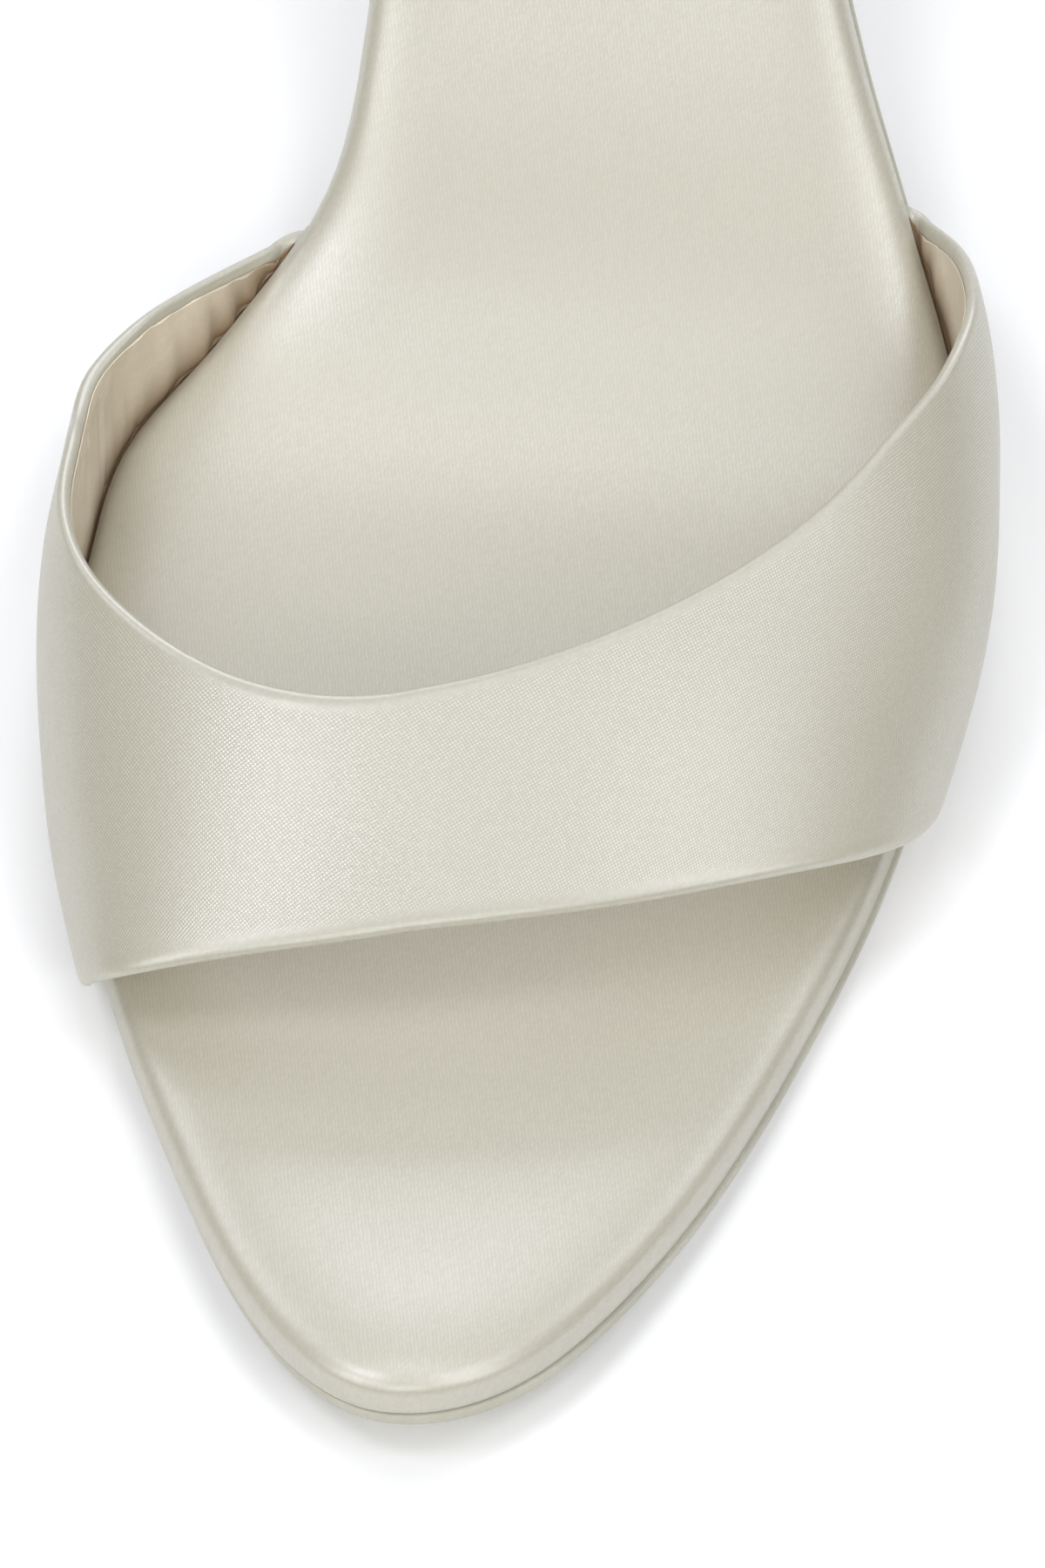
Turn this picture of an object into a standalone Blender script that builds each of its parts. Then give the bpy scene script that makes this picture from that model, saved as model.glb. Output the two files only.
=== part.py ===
"""Heeled mule sandal, left shoe: one wide vamp strap on a padded insole, a thin outsole and a slim heel.

Metres, +Z up. The toe points to -Y and the lateral (outer) side is +X. The origin is on the floor,
under the middle of the tread. Every piece is worked out from the dimensions and the tables below.
"""
import math

import bmesh
import bpy
import numpy as np
from mathutils import Vector

MM = 0.001

# Driving dimensions
INSOLE_LENGTH = 245.0 * MM      # along its own top, from the toe tip to the back of the heel
BALL_WIDTH = 76.0 * MM          # of the insole
INSTEP_HEIGHT = 41.0 * MM       # outside of the strap above the insole, halfway along the foot
HEEL_HEIGHT = 78.0 * MM         # top of the insole above the floor, at the back
INSOLE_THICKNESS = 4.3 * MM
OUTSOLE_THICKNESS = 1.6 * MM
STRAP_THICKNESS = 1.6 * MM
TOP_PIECE_THICKNESS = 5.0 * MM
GAP = 0.3 * MM                  # left between pieces that touch
PERCENT = 0.01

# Sole
TREAD_CENTRE = 70.0 * MM        # along the insole
TREAD_FLAT = (23, 34)           # the stretch that lies flat on the floor, percent of the length
INSOLE_ROUNDING = 2.2 * MM      # of its top edge
INSOLE_LOWER_EDGE = 0.4 * MM
OUTSOLE_LOWER_EDGE = 0.4 * MM
OUTSOLE_SHIFT = 0.3 * MM        # the outsole shows a little on the lateral side
OUTSOLE_END = 79.5              # where the heel breast begins, percent of the length
SOLE_STATIONS = 64

# Strap
CROWN_POWER = 2.35              # 2 is an ellipse, more is squarer
BULGE_AT = 0.75                 # around, where the strap is widest
FEATHER_AT = 0.93               # around, where it turns under the insole
SIDE_PACE = 0.55                # pace at the top and foot of the side, so that the edges run on smoothly
MARGIN = 9.5 * MM               # of the strap's end, turned under the insole
RECESS_DROP = 2.0 * MM          # how far the recess cutters reach below the insole
RECESS_OVERRUN = 4.0 * MM       # and past its edge
STRAP_ROWS = 17

# Heel
HEEL_INSET = 1.0 * MM           # of the heel's seat from the insole's edge
TOP_PIECE_EDGE = 0.4 * MM
HEEL_STATIONS = 13


def table(columns, *rows):
    """Rows under named columns, as one array for each column."""
    return dict(zip(columns, np.array(rows, dtype=float).T))


# Insole along its length: percent of the length, of the ball width to either side, slope in degrees
SOLE = table(
    ("along", "medial", "lateral", "slope"),
    (0, -1.5, -1.5, -11),
    (2, -14, 13.5, -10.5),
    (5, -21, 21.5, -9.5),
    (10, -29, 31, -7),
    (16, -37, 39.5, -3.5),
    (23, -44, 47.5, 0),
    (30, -46.5, 52.5, 0),
    (34, -45.5, 54, 0),
    (39, -42, 54, 9.5),
    (43, -32.5, 52, 19.5),
    (48, -22, 46.5, 31),
    (54, -18, 39.5, 39),
    (61, -18, 33.5, 43),
    (73, -25, 31.5, 40),
    (84, -33, 33.5, 22),
    (93, -28.5, 28.5, 11),
    (98, -17, 17, 10),
    (100, 0, 0, 10),
)

# Outside of the strap: crown across in mm, its height in percent of the instep height, how far each
# side stands out past the insole's edge and the height where it is widest, in mm
LAST = table(
    ("along", "crown", "height", "medial", "lateral", "bulge"),
    (12, -3, 25, 3.9, 3.9, 4),
    (18, -3, 42, 2.7, 5.0, 3),
    (24, -3, 54, 2.0, 4.0, 5),
    (31, -3, 65, 2.0, 3.9, 9),
    (37, -4, 79, 2.3, 2.9, 11.7),
    (43, -4, 90, 6.8, 3.2, 12.1),
    (49, -2, 99, 11.0, 4.9, 12.6),
    (55, 0, 107, 14.9, 6.6, 13.6),
)

# Edges of the strap in percent of the length; around is -1 and 1 at the insole's edge, 0 at the crown
STRAP_EDGES = table(
    ("around", "front", "rear"),
    (-1, 17.6, 47.2),
    (-0.93, 17.2, 46.6),
    (-0.85, 16.1, 44.1),
    (-0.81, 15.7, 42.3),
    (-0.76, 15.2, 38.3),
    (-0.68, 14.8, 35.4),
    (-0.44, 14.1, 28.0),
    (-0.22, 14.3, 23.8),
    (0, 15.1, 23.6),
    (0.22, 16.6, 27.4),
    (0.44, 19.3, 35.6),
    (0.57, 21.0, 42.0),
    (0.68, 22.5, 45.6),
    (0.77, 23.8, 46.3),
    (0.85, 25.2, 47.8),
    (0.93, 25.9, 48.8),
    (1, 26.1, 49.4),
)

# Heel, from its seat down to its tip: percent of the way down, half width, back and breast in mm
# behind the origin
HEEL = table(
    ("down", "half_width", "back", "breast"),
    (0, 24.3, 153.0, 109.0),
    (6, 20.5, 151.2, 115.5),
    (14, 15.5, 148.6, 121.5),
    (26, 11.0, 145.4, 126.0),
    (42, 8.3, 142.4, 128.2),
    (60, 7.0, 140.4, 128.4),
    (80, 6.4, 139.4, 127.7),
    (100, 6.3, 139.2, 126.8),
)


def smooth(rows_x, rows_y, x):
    """Height at x of the smooth curve through the rows."""
    step = np.diff(rows_x)
    rise = np.diff(rows_y) / step
    inner = (rise[:-1] * step[1:] + rise[1:] * step[:-1]) / (step[1:] + step[:-1])
    tangent = np.concatenate(([2 * rise[0] - inner[0]], inner, [2 * rise[-1] - inner[-1]]))
    k = np.clip(np.searchsorted(rows_x, x) - 1, 0, len(step) - 1)
    t = (x - rows_x[k]) / step[k]
    ends = (2 * t**3 - 3 * t**2 + 1) * rows_y[k] + (3 * t**2 - 2 * t**3) * rows_y[k + 1]
    bends = (t**3 - 2 * t**2 + t) * tangent[k] + (t**3 - t**2) * tangent[k + 1]
    return ends + bends * step[k]


def bent_profile(arch):
    """Side view of the insole's top: distance along, y, z and slope; arch scales the rising slopes."""
    along = np.linspace(0, 1, 981)
    slope = smooth(SOLE["along"], SOLE["slope"], along / PERCENT)
    slope = np.radians(np.where(slope > 0, slope * arch, slope))
    flat = (along > TREAD_FLAT[0] * PERCENT) & (along < TREAD_FLAT[1] * PERCENT)
    slope[flat] = 0
    along = along * INSOLE_LENGTH
    middle = (slope[1:] + slope[:-1]) / 2
    y = np.concatenate(([0], np.cumsum(np.cos(middle) * np.diff(along))))
    z = np.concatenate(([0], np.cumsum(np.sin(middle) * np.diff(along))))
    y -= np.interp(TREAD_CENTRE, along, y)
    z -= np.interp(TREAD_CENTRE, along, z)
    return along, y, z + INSOLE_THICKNESS + GAP + OUTSOLE_THICKNESS, slope


def arch_for_heel_height():
    """How much steeper or flatter the arch is than in the table, for the heel height."""
    low, high = 0.3, 1.7
    for _ in range(40):
        arch = (low + high) / 2
        if bent_profile(arch)[2][-1] < HEEL_HEIGHT:
            low = arch
        else:
            high = arch
    return arch


PROFILE = bent_profile(arch_for_heel_height())


def place(along, across, height):
    """Point above the insole's top, in the shoe's frame."""
    y, z, slope = (np.interp(along, PROFILE[0], column) for column in PROFILE[1:])
    return Vector((across, y - math.sin(slope) * height, z + math.cos(slope) * height))


def turn(along):
    """Turns a place along the insole into an angle, 0 to pi, so that toe and heel come out round."""
    return np.arccos(np.clip(1 - 2 * along / INSOLE_LENGTH, -1, 1))


def edge(side, angle):
    """Edge of the insole, side -1 medial or 1 lateral: along, across."""
    rows = turn(SOLE["along"] * PERCENT * INSOLE_LENGTH)
    width = SOLE["medial"] if side < 0 else SOLE["lateral"]
    return np.array((INSOLE_LENGTH / 2 * (1 - math.cos(angle)),
                     smooth(rows, width * PERCENT * BALL_WIDTH, angle)))


def inward(side, angle):
    """Direction (along, across) square to the insole's edge, towards its middle."""
    step = 0.001
    forward = edge(side, angle + step) - edge(side, angle - step)
    forward /= np.linalg.norm(forward)
    return np.array((side * forward[1], -side * forward[0]))


def outline(inset, start, end, stations):
    """Loop (along, across) inside the insole's edge: medial side to the back, lateral side forward."""
    sides = []
    for side in (-1, 1):
        angles = np.linspace(turn(start), turn(end), stations)
        sides.append([edge(side, angle) + inset * inward(side, angle) for angle in angles])
    return sides[0] + sides[1][::-1]


def link(name, mesh, collection, colour, roughness):
    """New object with a material of its own."""
    part = bpy.data.objects.new(name, mesh)
    collection.objects.link(part)
    material = bpy.data.materials.new(name)
    material.use_nodes = True
    shader = material.node_tree.nodes["Principled BSDF"]
    shader.inputs["Base Color"].default_value = (*colour, 1)
    shader.inputs["Roughness"].default_value = roughness
    shader.inputs["Metallic"].default_value = 0
    mesh.materials.append(material)
    return part


def mesh_of(bm, name):
    """Finished mesh, welded, facing outward and shaded smooth."""
    bmesh.ops.remove_doubles(bm, verts=bm.verts, dist=0.001 * MM)
    bmesh.ops.recalc_face_normals(bm, faces=bm.faces)
    mesh = bpy.data.meshes.new(name)
    bm.to_mesh(mesh)
    bm.free()
    mesh.shade_smooth()
    mesh.set_sharp_from_angle(angle=math.radians(35))
    return mesh


def loft(name, rings):
    """Solid through rings of points, low to high; its ends are closed from one side to the other."""
    bm = bmesh.new()
    loops = [[bm.verts.new(point) for point in ring] for ring in rings]
    count = len(rings[0])
    for low, high in zip(loops, loops[1:]):
        for i in range(count):
            j = (i + 1) % count
            bm.faces.new((low[i], low[j], high[j], high[i]))
    for loop in (loops[0], loops[-1]):
        for i in range(count // 2 - 1):
            bm.faces.new((loop[i], loop[i + 1], loop[-2 - i], loop[-1 - i]))
    return mesh_of(bm, name)


def sole_layer(name, profile, end, shift):
    """Layer of the sole from its edge's profile, rows of inset and height, low to high."""
    rings = []
    for inset, height in profile:
        loop = outline(inset, 0, end, SOLE_STATIONS)
        rings.append([place(along, across + shift, height) for along, across in loop])
    return loft(name, rings)


def insole_mesh():
    """Padded board, flat below, round along its top edge."""
    bottom = -INSOLE_THICKNESS
    profile = [(INSOLE_LOWER_EDGE, bottom), (0, bottom + INSOLE_LOWER_EDGE)]
    for angle in np.linspace(0, math.pi / 2, 4):
        profile.append((INSOLE_ROUNDING * (1 - math.cos(angle)), -INSOLE_ROUNDING * (1 - math.sin(angle))))
    return sole_layer("insole", profile, INSOLE_LENGTH, 0)


def outsole_mesh():
    """Thin leather, from the toe to the heel breast."""
    top = -INSOLE_THICKNESS - GAP
    bottom = top - OUTSOLE_THICKNESS
    profile = [(OUTSOLE_LOWER_EDGE, bottom), (0, bottom + OUTSOLE_LOWER_EDGE), (0, top)]
    return sole_layer("outsole", profile, OUTSOLE_END * PERCENT * INSOLE_LENGTH, OUTSOLE_SHIFT)


def side_fall(part):
    """Share of the side's height passed at a share of the way down it, slower near both ends."""
    return part**2 * (3 - 2 * part) + SIDE_PACE * part * (1 - part) * (1 - 2 * part)


def strap_section(along, around):
    """Outside of the strap at one place along the insole: across and height."""
    percent = along / INSOLE_LENGTH / PERCENT
    crown, height, medial, lateral, bulge = (
        smooth(LAST["along"], LAST[column], percent)
        for column in ("crown", "height", "medial", "lateral", "bulge"))
    side = -1 if around < 0 else 1
    crown_height = height * PERCENT * INSTEP_HEIGHT
    bulge_height = bulge * MM
    board_edge = edge(side, turn(along))[1]
    slant = abs(inward(side, turn(along))[1])
    widest = board_edge + side * (medial if side < 0 else lateral) * MM
    turn_radius = STRAP_THICKNESS + GAP
    feather = board_edge + side * turn_radius / slant
    feather_height = turn_radius - INSOLE_THICKNESS
    reach = abs(around)
    if reach < BULGE_AT:
        angle = math.pi / 2 * (1 - reach / BULGE_AT)
        radius = (math.cos(angle) ** CROWN_POWER + math.sin(angle) ** CROWN_POWER) ** (-1 / CROWN_POWER)
        across = crown * MM + (widest - crown * MM) * radius * math.cos(angle)
        return across, bulge_height + (crown_height - bulge_height) * radius * math.sin(angle)
    if reach < FEATHER_AT:
        down = side_fall((reach - BULGE_AT) / (FEATHER_AT - BULGE_AT))
        across = widest + (feather - widest) * (1 - math.cos(down * math.pi / 2))
        return across, bulge_height + (feather_height - bulge_height) * down
    angle = (reach - FEATHER_AT) / (1 - FEATHER_AT) * math.pi / 2
    across = board_edge + (feather - board_edge) * math.cos(angle)
    return across, feather_height - turn_radius * math.sin(angle)


def strap_edge(column, around):
    """Where the strap's front or rear edge lies along the insole; both run straight underneath."""
    return smooth(STRAP_EDGES["around"], STRAP_EDGES[column], around) * PERCENT * INSOLE_LENGTH


def strap_columns():
    """Places around the strap from its medial end to its lateral end: around, margin turned under."""
    top = np.linspace(0, 0.8 * BULGE_AT, 14)
    shoulder = np.linspace(0.8 * BULGE_AT, BULGE_AT, 7)[1:]
    wall = np.linspace(BULGE_AT, FEATHER_AT, 10)[1:]
    corner = np.linspace(FEATHER_AT, 1, 4)[1:]
    half = [(around, 0) for around in (*top, *shoulder, *wall, *corner)]
    half += [(1, margin) for margin in np.linspace(0, MARGIN, 4)[1:]]
    medial = [(-around, margin) for around, margin in half[:0:-1]]
    return medial + half


def strap_mesh():
    """Outside face of the strap, from its front edge to its rear edge, with both ends turned under."""
    bm = bmesh.new()
    columns = []
    for around, margin in strap_columns():
        side = -1 if around < 0 else 1
        column = []
        for along in np.linspace(strap_edge("front", around), strap_edge("rear", around), STRAP_ROWS):
            across, height = strap_section(along, around)
            column.append(bm.verts.new(place(along, across - side * margin, height)))
        columns.append(column)
    for left, right in zip(columns, columns[1:]):
        for i in range(STRAP_ROWS - 1):
            bm.faces.new((left[i], right[i], right[i + 1], left[i + 1]))
    return mesh_of(bm, "upper")


def recess_mesh(side):
    """Cutter for the recess under the insole that takes one end of the strap."""
    roof = STRAP_THICKNESS + GAP - INSOLE_THICKNESS
    floor = -INSOLE_THICKNESS - RECESS_DROP
    rings = []
    for along in np.linspace(strap_edge("front", side) - GAP, strap_edge("rear", side) + GAP, STRAP_ROWS):
        board_edge = edge(side, turn(along))[1]
        inner = board_edge - side * (MARGIN + GAP)
        outer = board_edge + side * RECESS_OVERRUN
        rings.append([place(along, across, height)
                      for across, height in ((inner, roof), (outer, roof), (outer, floor), (inner, floor))])
    return loft("recess", rings)


def heel_rings():
    """Heel from its tip up to its seat: the seat's own outline, drawn in level by level."""
    loop = outline(HEEL_INSET, (OUTSOLE_END * PERCENT * INSOLE_LENGTH) + GAP, INSOLE_LENGTH, HEEL_STATIONS)
    seat = [place(along, across, -INSOLE_THICKNESS - GAP) for along, across in loop]
    half_width = max(point.x for point in seat)
    breast = min(point.y for point in seat)
    back = max(point.y for point in seat)
    tip = TOP_PIECE_THICKNESS + GAP
    rings = []
    for row in range(len(HEEL["down"]) - 1, -1, -1):
        down, width, row_back, row_breast = (HEEL[c][row] for c in ("down", "half_width", "back", "breast"))
        ring = []
        for point in seat:
            behind = (point.y - breast) / (back - breast)
            z = point.z + (tip - point.z) * down * PERCENT
            y = row_breast + (row_back - row_breast) * behind
            ring.append(Vector((point.x / half_width * width * MM, y * MM, z)))
        rings.append(ring)
    rings[-1] = seat
    return rings


def top_piece_mesh(tip):
    """Rubber top piece under the heel's tip, bevelled where it meets the floor."""
    middle = sum(tip, Vector()) / len(tip)
    rings = []
    for inset, z in ((TOP_PIECE_EDGE, 0), (0, TOP_PIECE_EDGE), (0, TOP_PIECE_THICKNESS)):
        ring = []
        for point in tip:
            inward = (middle - point).normalized() * inset
            ring.append(Vector((point.x + inward.x, point.y + inward.y, z)))
        rings.append(ring)
    return loft("heel_top_piece", rings)


for leftover in list(bpy.data.objects):
    bpy.data.objects.remove(leftover, do_unlink=True)

sandal = bpy.data.collections.new("heeled_sandal")
cutters = bpy.data.collections.new("cutters")
for collection in (sandal, cutters):
    bpy.context.scene.collection.children.link(collection)

IVORY_SATIN = (0.66, 0.62, 0.52)
IVORY_LEATHER = (0.55, 0.52, 0.43)
BEIGE_RUBBER = (0.42, 0.36, 0.28)

upper = link("upper", strap_mesh(), sandal, IVORY_SATIN, 0.45)
wall = upper.modifiers.new("strap thickness", "SOLIDIFY")
wall.thickness = STRAP_THICKNESS
wall.offset = -1
wall.use_even_offset = True

insole = link("insole", insole_mesh(), sandal, IVORY_SATIN, 0.5)
for side, side_name in ((-1, "medial"), (1, "lateral")):
    recess = bpy.data.objects.new(f"recess_{side_name}", recess_mesh(side))
    cutters.objects.link(recess)
    recess.hide_render = True
    recess.display_type = "WIRE"
    cut = insole.modifiers.new(f"recess for the {side_name} end of the strap", "BOOLEAN")
    cut.operation = "DIFFERENCE"
    cut.object = recess

link("outsole", outsole_mesh(), sandal, IVORY_LEATHER, 0.5)
heel_levels = heel_rings()
link("heel", loft("heel", heel_levels), sandal, IVORY_SATIN, 0.45)
link("heel_top_piece", top_piece_mesh(heel_levels[0]), sandal, BEIGE_RUBBER, 0.6)
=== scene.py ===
"""Looks of the heeled mule sandal, left shoe: ivory satin strap and sock, thin leather sole, covered heel.

Metres, +Z up, toe to -Y, lateral side to +X. Sizes in the sections are the shoe's own.
"""

import math

import bmesh
import bpy
import numpy as np
from mathutils import Matrix, Vector, noise


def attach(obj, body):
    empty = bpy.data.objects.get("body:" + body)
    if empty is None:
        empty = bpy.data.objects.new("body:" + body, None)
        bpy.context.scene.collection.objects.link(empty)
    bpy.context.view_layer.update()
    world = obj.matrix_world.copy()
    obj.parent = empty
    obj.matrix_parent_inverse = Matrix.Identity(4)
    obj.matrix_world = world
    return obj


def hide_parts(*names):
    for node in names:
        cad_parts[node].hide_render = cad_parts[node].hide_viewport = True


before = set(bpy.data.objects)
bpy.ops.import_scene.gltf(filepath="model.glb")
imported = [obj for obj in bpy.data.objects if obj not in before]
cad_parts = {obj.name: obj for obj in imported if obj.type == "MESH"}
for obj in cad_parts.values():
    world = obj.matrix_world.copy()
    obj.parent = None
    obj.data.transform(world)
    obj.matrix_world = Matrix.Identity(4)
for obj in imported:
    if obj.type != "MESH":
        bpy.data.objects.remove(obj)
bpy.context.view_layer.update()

# ---------------------------------------------------------------------------------------------------
# Insole. A stiff fibre board bent to the last, with thin foam on top, wrapped in ivory satin that is
# drawn over the edge and glued down underneath. The foam thins out towards the edge. The board is
# skived below where the two ends of the strap are turned under it.
# ---------------------------------------------------------------------------------------------------
MM = 0.001
PERCENT = 0.01
INSOLE_LENGTH = 245.0 * MM
BALL_WIDTH = 76.0 * MM
HEEL_HEIGHT = 78.0 * MM
INSOLE_THICKNESS = 4.3 * MM
OUTSOLE_THICKNESS = 1.6 * MM
STRAP_THICKNESS = 1.6 * MM
GAP = 0.3 * MM
TREAD_CENTRE = 70.0 * MM
TREAD_FLAT = (23, 34)           # the stretch that lies flat on the floor, percent of the length
STRAP_MARGIN = 9.5 * MM         # of the strap's ends, under the board
SOLE_STATIONS = 190
RUNGS = 14                      # cuts across the top of each layer of the sole
STEP_ANGLE = 0.0004             # either side of a step in the board's underside, in radians
ARCH_RANGE = (0.3, 1.7)
PROFILE_POINTS = 981
SHARP_ANGLE = math.radians(40)
DRAWN_REACH = 1.9               # mm in from the edge, up to where the satin is stretched smooth
SKIVE_FROM = -1.9 * MM          # level below which the board's edge is raised over the strap's ends


def table(columns, *rows):
    """Rows under named columns, as one array for each column."""
    return dict(zip(columns, np.array(rows, dtype=float).T))


# Percent of the insole's length, edges in percent of the ball width, slope in degrees
SOLE = table(
    ("along", "medial", "lateral", "slope"),
    (0, -1.5, -1.5, -11),
    (2, -14, 13.5, -10.5),
    (5, -21, 21.5, -9.5),
    (10, -29, 31, -7),
    (16, -37, 39.5, -3.5),
    (23, -44, 47.5, 0),
    (30, -46.5, 52.5, 0),
    (34, -45.5, 54, 0),
    (39, -42, 54, 9.5),
    (43, -32.5, 52, 19.5),
    (48, -22, 46.5, 31),
    (54, -18, 39.5, 39),
    (61, -18, 33.5, 43),
    (73, -25, 31.5, 40),
    (84, -33, 33.5, 22),
    (93, -28.5, 28.5, 11),
    (98, -17, 17, 10),
    (100, 0, 0, 10),
)

# Edge of the padded insole in mm: inset from its outline and height under the middle of the top
INSOLE_EDGE = table(
    ("inset", "height"),
    (9.8, -4.5),
    (0.4, -4.5),
    (0.12, -4.4),
    (0, -4.15),
    (0, -3.6),
    (0, -3.0),
    (0.04, -2.45),
    (0.15, -2.0),
    (0.35, -1.62),
    (0.65, -1.3),
    (1.05, -1.02),
    (1.6, -0.78),
    (2.3, -0.57),
    (3.2, -0.38),
    (4.4, -0.22),
    (5.8, -0.1),
    (7.4, -0.03),
    (9, 0),
)

# Edges of the strap in percent of the length; around is -1 and 1 at the insole's edge, 0 at the crown
STRAP_EDGES = table(
    ("around", "front", "rear"),
    (-1, 17.6, 47.0),
    (-0.93, 17.2, 46.5),
    (-0.85, 16.1, 44.1),
    (-0.81, 15.7, 42.3),
    (-0.76, 15.2, 38.3),
    (-0.68, 14.8, 35.4),
    (-0.44, 14.1, 28.0),
    (-0.22, 14.3, 23.8),
    (0, 15.1, 23.6),
    (0.22, 16.6, 27.4),
    (0.44, 19.3, 35.6),
    (0.57, 21.0, 42.0),
    (0.68, 22.5, 45.2),
    (0.77, 23.8, 46.6),
    (0.85, 25.2, 47.8),
    (0.93, 25.9, 48.6),
    (1, 26.1, 49.0),
)


def smooth(rows_x, rows_y, x):
    """Height at x of the smooth curve through the rows."""
    step = np.diff(rows_x)
    rise = np.diff(rows_y) / step
    inner = (rise[:-1] * step[1:] + rise[1:] * step[:-1]) / (step[1:] + step[:-1])
    tangent = np.concatenate(([2 * rise[0] - inner[0]], inner, [2 * rise[-1] - inner[-1]]))
    k = np.clip(np.searchsorted(rows_x, x) - 1, 0, len(step) - 1)
    t = (x - rows_x[k]) / step[k]
    ends = (2 * t**3 - 3 * t**2 + 1) * rows_y[k] + (3 * t**2 - 2 * t**3) * rows_y[k + 1]
    bends = (t**3 - 2 * t**2 + t) * tangent[k] + (t**3 - t**2) * tangent[k + 1]
    return ends + bends * step[k]


def bent_profile(arch):
    """Side view of the insole's top: distance along, y, z and slope; arch scales the rising slopes."""
    along = np.linspace(0, 1, PROFILE_POINTS)
    slope = smooth(SOLE["along"], SOLE["slope"], along / PERCENT)
    slope = np.radians(np.where(slope > 0, slope * arch, slope))
    slope[(along > TREAD_FLAT[0] * PERCENT) & (along < TREAD_FLAT[1] * PERCENT)] = 0
    along = along * INSOLE_LENGTH
    middle = (slope[1:] + slope[:-1]) / 2
    y = np.concatenate(([0], np.cumsum(np.cos(middle) * np.diff(along))))
    z = np.concatenate(([0], np.cumsum(np.sin(middle) * np.diff(along))))
    y -= np.interp(TREAD_CENTRE, along, y)
    z -= np.interp(TREAD_CENTRE, along, z)
    return along, y, z + INSOLE_THICKNESS + GAP + OUTSOLE_THICKNESS, slope


def arch_for_heel_height():
    """How much steeper or flatter the arch is than in the table, for the heel height."""
    low, high = ARCH_RANGE
    for _ in range(40):
        arch = (low + high) / 2
        if bent_profile(arch)[2][-1] < HEEL_HEIGHT:
            low = arch
        else:
            high = arch
    return arch


PROFILE = bent_profile(arch_for_heel_height())


def place(along, across, height):
    """Points above the insole's top, in the shoe's frame."""
    y, z, slope = (np.interp(along, PROFILE[0], column) for column in PROFILE[1:])
    return np.stack(np.broadcast_arrays(across, y - np.sin(slope) * height, z + np.cos(slope) * height), -1)


def turn(along):
    """Turns a place along the insole into an angle, 0 to pi, so that toe and heel come out round."""
    return np.arccos(np.clip(1 - 2 * along / INSOLE_LENGTH, -1, 1))


def edge(side, angle):
    """Edge of the insole, side -1 medial or 1 lateral: along, across."""
    rows = turn(SOLE["along"] * PERCENT * INSOLE_LENGTH)
    width = SOLE["medial"] if side < 0 else SOLE["lateral"]
    across = smooth(rows, width * PERCENT * BALL_WIDTH, angle)
    return np.stack((INSOLE_LENGTH / 2 * (1 - np.cos(angle)), across), -1)


def inward(side, angle):
    """Direction (along, across) square to the insole's edge, towards its middle."""
    step = 0.001
    forward = edge(side, angle + step) - edge(side, angle - step)
    forward /= np.linalg.norm(forward, axis=-1, keepdims=True)
    return np.stack((side * forward[..., 1], -side * forward[..., 0]), -1)


def strap_edge(column, around):
    """Where the strap's front or rear edge lies along the insole; both run straight underneath."""
    return smooth(STRAP_EDGES["around"], STRAP_EDGES[column], around) * PERCENT * INSOLE_LENGTH


def stations(end, steps_at=lambda side: ()):
    """Places round a sole layer: side and angle, from the toe tip up the medial side and back down
    the lateral one. A tip has side 0. steps_at gives places along a side that take two stations."""
    sides = []
    for side in (-1, 1):
        steps = [turn(along) + step for along in steps_at(side) for step in (-STEP_ANGLE, STEP_ANGLE)]
        angles = np.sort(np.append(np.linspace(0, turn(end), SOLE_STATIONS + 1)[1:], steps))
        sides.append([(side, angle) for angle in angles])
    medial, lateral = sides
    if end == INSOLE_LENGTH:
        return [(0, 0.0)] + medial[:-1] + [(0, math.pi)] + lateral[-2::-1]
    return [(0, 0.0)] + medial + lateral[::-1]


def grow_rings(bm, rings, layers):
    """Extrudes a loop from ring to ring of points. Each layer, a name with rings of values, is set on
    the points too. Returns the edges of the first and the last ring, and the loop's numbering."""
    number = bm.verts.layers.int.new("number")
    stores = [bm.verts.layers.float_vector.new(name) for name in layers]
    verts = bmesh.ops.create_circle(bm, segments=len(rings[0]), radius=1)["verts"]
    for count, vert in enumerate(verts):
        vert[number] = count
    first = edges = list(bm.edges)
    for row, ring in enumerate(rings):
        if row:
            grown = bmesh.ops.extrude_edge_only(bm, edges=edges)["geom"]
            verts = {item for item in grown if isinstance(item, bmesh.types.BMVert)}
            edges = [item for item in grown
                     if isinstance(item, bmesh.types.BMEdge) and set(item.verts) <= verts]
        for vert in verts:
            vert.co = ring[vert[number]]
            for store, values in zip(stores, layers.values()):
                vert[store] = values[row][vert[number]]
    return first, edges, number


def mesh_from(bm, name):
    """Finished mesh, facing outward."""
    bmesh.ops.recalc_face_normals(bm, faces=bm.faces)
    mesh = bpy.data.meshes.new(name)
    bm.to_mesh(mesh)
    bm.free()
    return mesh


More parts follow.
